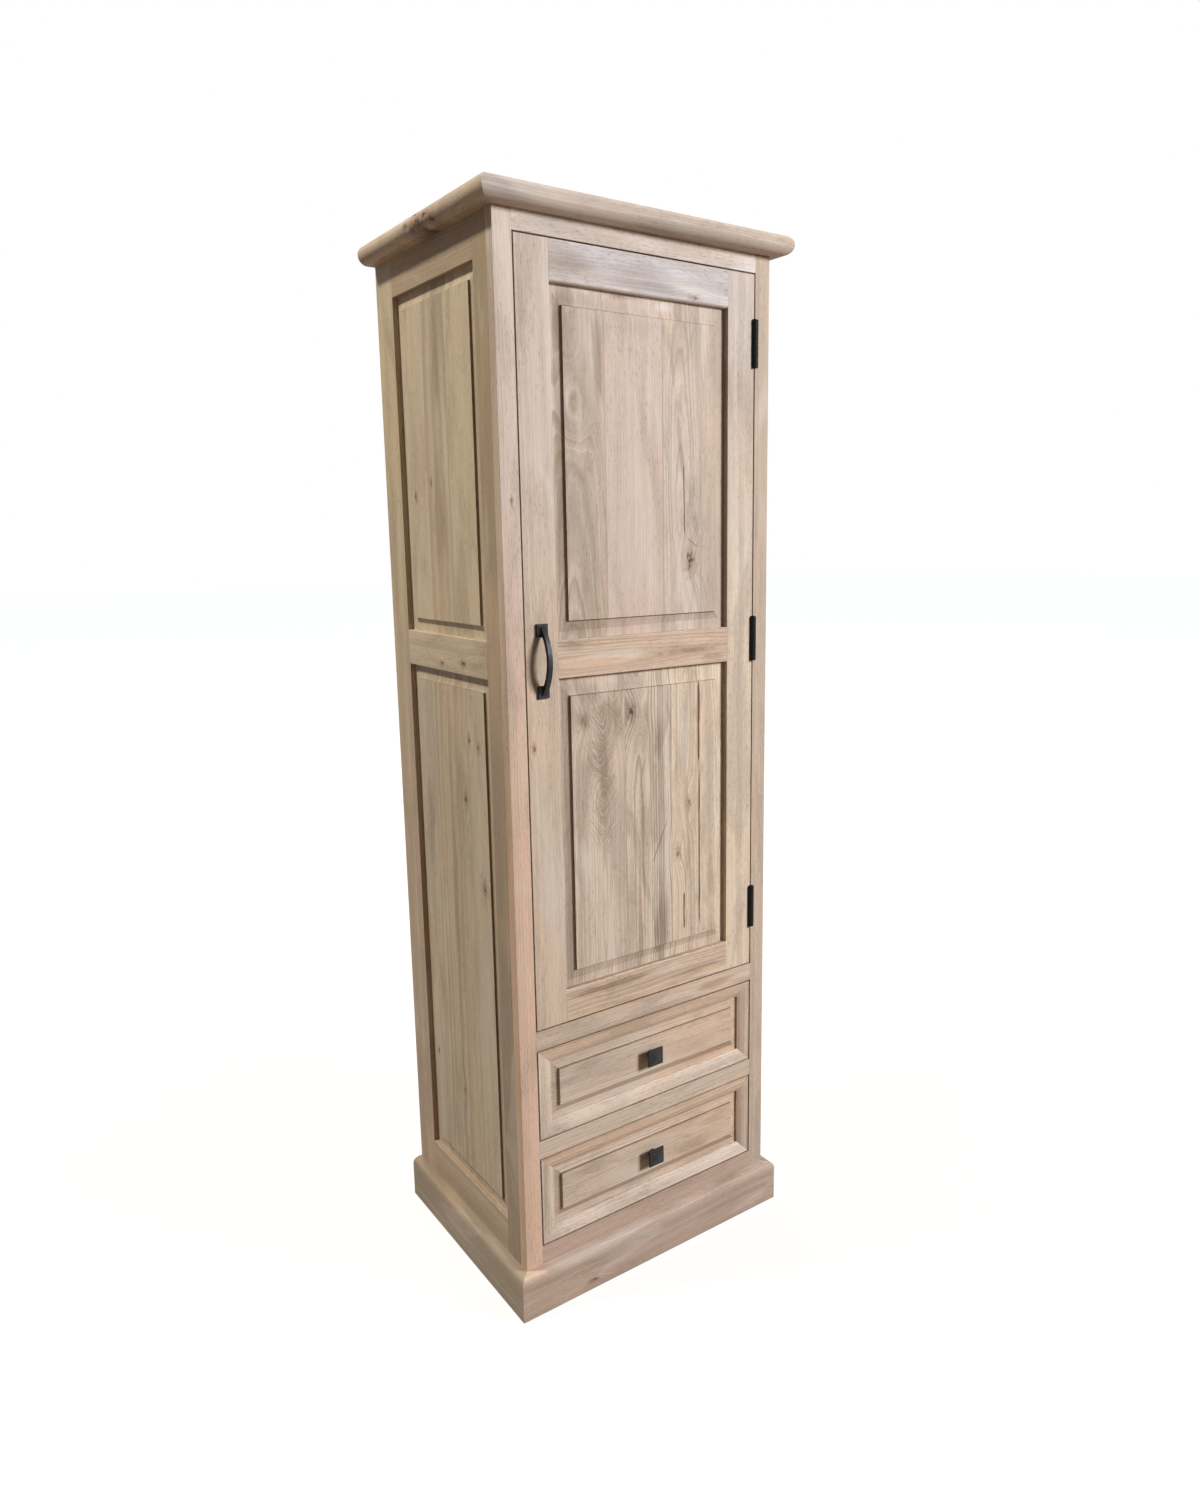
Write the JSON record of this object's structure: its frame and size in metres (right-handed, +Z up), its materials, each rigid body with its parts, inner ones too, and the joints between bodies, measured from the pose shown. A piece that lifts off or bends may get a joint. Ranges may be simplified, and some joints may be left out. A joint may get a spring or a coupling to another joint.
{
  "type": "tall cabinet",
  "caption": "Tall free-standing wooden cupboard: a framed door with raised panels over drawers, half-round cornice and skirted plinth, black iron pull, knobs and hinges.",
  "frame": {"origin": "on the floor, under the middle of the bounding box", "axes": "+X to the right seen from the front, +Y from the door to the back, +Z up"},
  "size_m": [0.628, 0.478, 1.9],
  "materials": {
    "face_wood": "pale whitewashed hardwood, satin",
    "moulding_wood": "pale whitewashed hardwood, satin",
    "door_wood": "pale greyish hardwood, satin",
    "door_panel_wood": "pale hardwood boards glued edge to edge, satin",
    "drawer_wood": "pale hardwood, satin",
    "side_wood": "pale tan hardwood, satin",
    "side_panel_wood": "pale tan hardwood boards glued edge to edge, satin",
    "inner_wood": "unstained hardwood and plywood, matt",
    "black_iron": "satin black",
    "plated_steel": "zinc plated",
    "catch_body": "matt brown"
  },
  "bodies": {
    "carcass": {"back_panel": "inner_wood", "bottom_board": "inner_wood", "compartment_floor": "inner_wood", "cornice_front": "moulding_wood", "cornice_left": "moulding_wood", "cornice_right": "moulding_wood", "door_catch": "catch_body", "drawer_divider": "inner_wood", "drawer_guides": "inner_wood", "face_bottom_rail": "face_wood", "face_drawer_rail": "face_wood", "face_left_stile": "face_wood", "face_middle_rail": "face_wood", "face_right_stile": "face_wood", "face_top_rail": "face_wood", "hinge_case_leaves": "black_iron", "hinge_case_screws": "plated_steel", "hinge_pins": "black_iron", "left_front_stile": "side_wood", "left_lower_panel": "side_panel_wood", "left_rear_stile": "side_wood", "left_side_rails": "side_wood", "left_upper_panel": "side_panel_wood", "plinth_front": "moulding_wood", "plinth_left": "moulding_wood", "plinth_right": "moulding_wood", "right_front_stile": "side_wood", "right_lower_panel": "side_panel_wood", "right_rear_stile": "side_wood", "right_side_rails": "side_wood", "right_upper_panel": "side_panel_wood", "shelf_pins": "plated_steel", "shelves": "inner_wood", "top_board": "moulding_wood"},
    "door": {"door_bottom_rail": "door_wood", "door_centre_rail": "door_wood", "door_handle": "black_iron", "door_left_stile": "door_wood", "door_lower_panel": "door_panel_wood", "door_right_stile": "door_wood", "door_top_rail": "door_wood", "door_upper_panel": "door_panel_wood", "handle_screws": "plated_steel", "hinge_door_leaves": "black_iron", "hinge_door_screws": "plated_steel", "catch_strike": "plated_steel"},
    "upper_drawer": {"upper_drawer_back": "inner_wood", "upper_drawer_bottom": "inner_wood", "upper_drawer_front_frame": "drawer_wood", "upper_drawer_front_panel": "drawer_wood", "upper_drawer_knob": "black_iron", "upper_drawer_left_side": "inner_wood", "upper_drawer_right_side": "inner_wood"},
    "lower_drawer": {"lower_drawer_back": "inner_wood", "lower_drawer_bottom": "inner_wood", "lower_drawer_front_frame": "drawer_wood", "lower_drawer_front_panel": "drawer_wood", "lower_drawer_knob": "black_iron", "lower_drawer_left_side": "inner_wood", "lower_drawer_right_side": "inner_wood"}
  },
  "joints": [
    {"name": "door_hinge", "type": "hinge", "parent": "carcass", "child": "door", "pos_m": [0.247, -0.208, 1.1815], "axis": [0, 0, 1], "range_deg": [0, 170]},
    {"name": "upper_drawer_slide", "type": "slide", "parent": "carcass", "child": "upper_drawer", "axis": [0, -1, 0], "range_m": [0, 0.32]},
    {"name": "lower_drawer_slide", "type": "slide", "parent": "carcass", "child": "lower_drawer", "axis": [0, -1, 0], "range_m": [0, 0.32]}
  ]
}
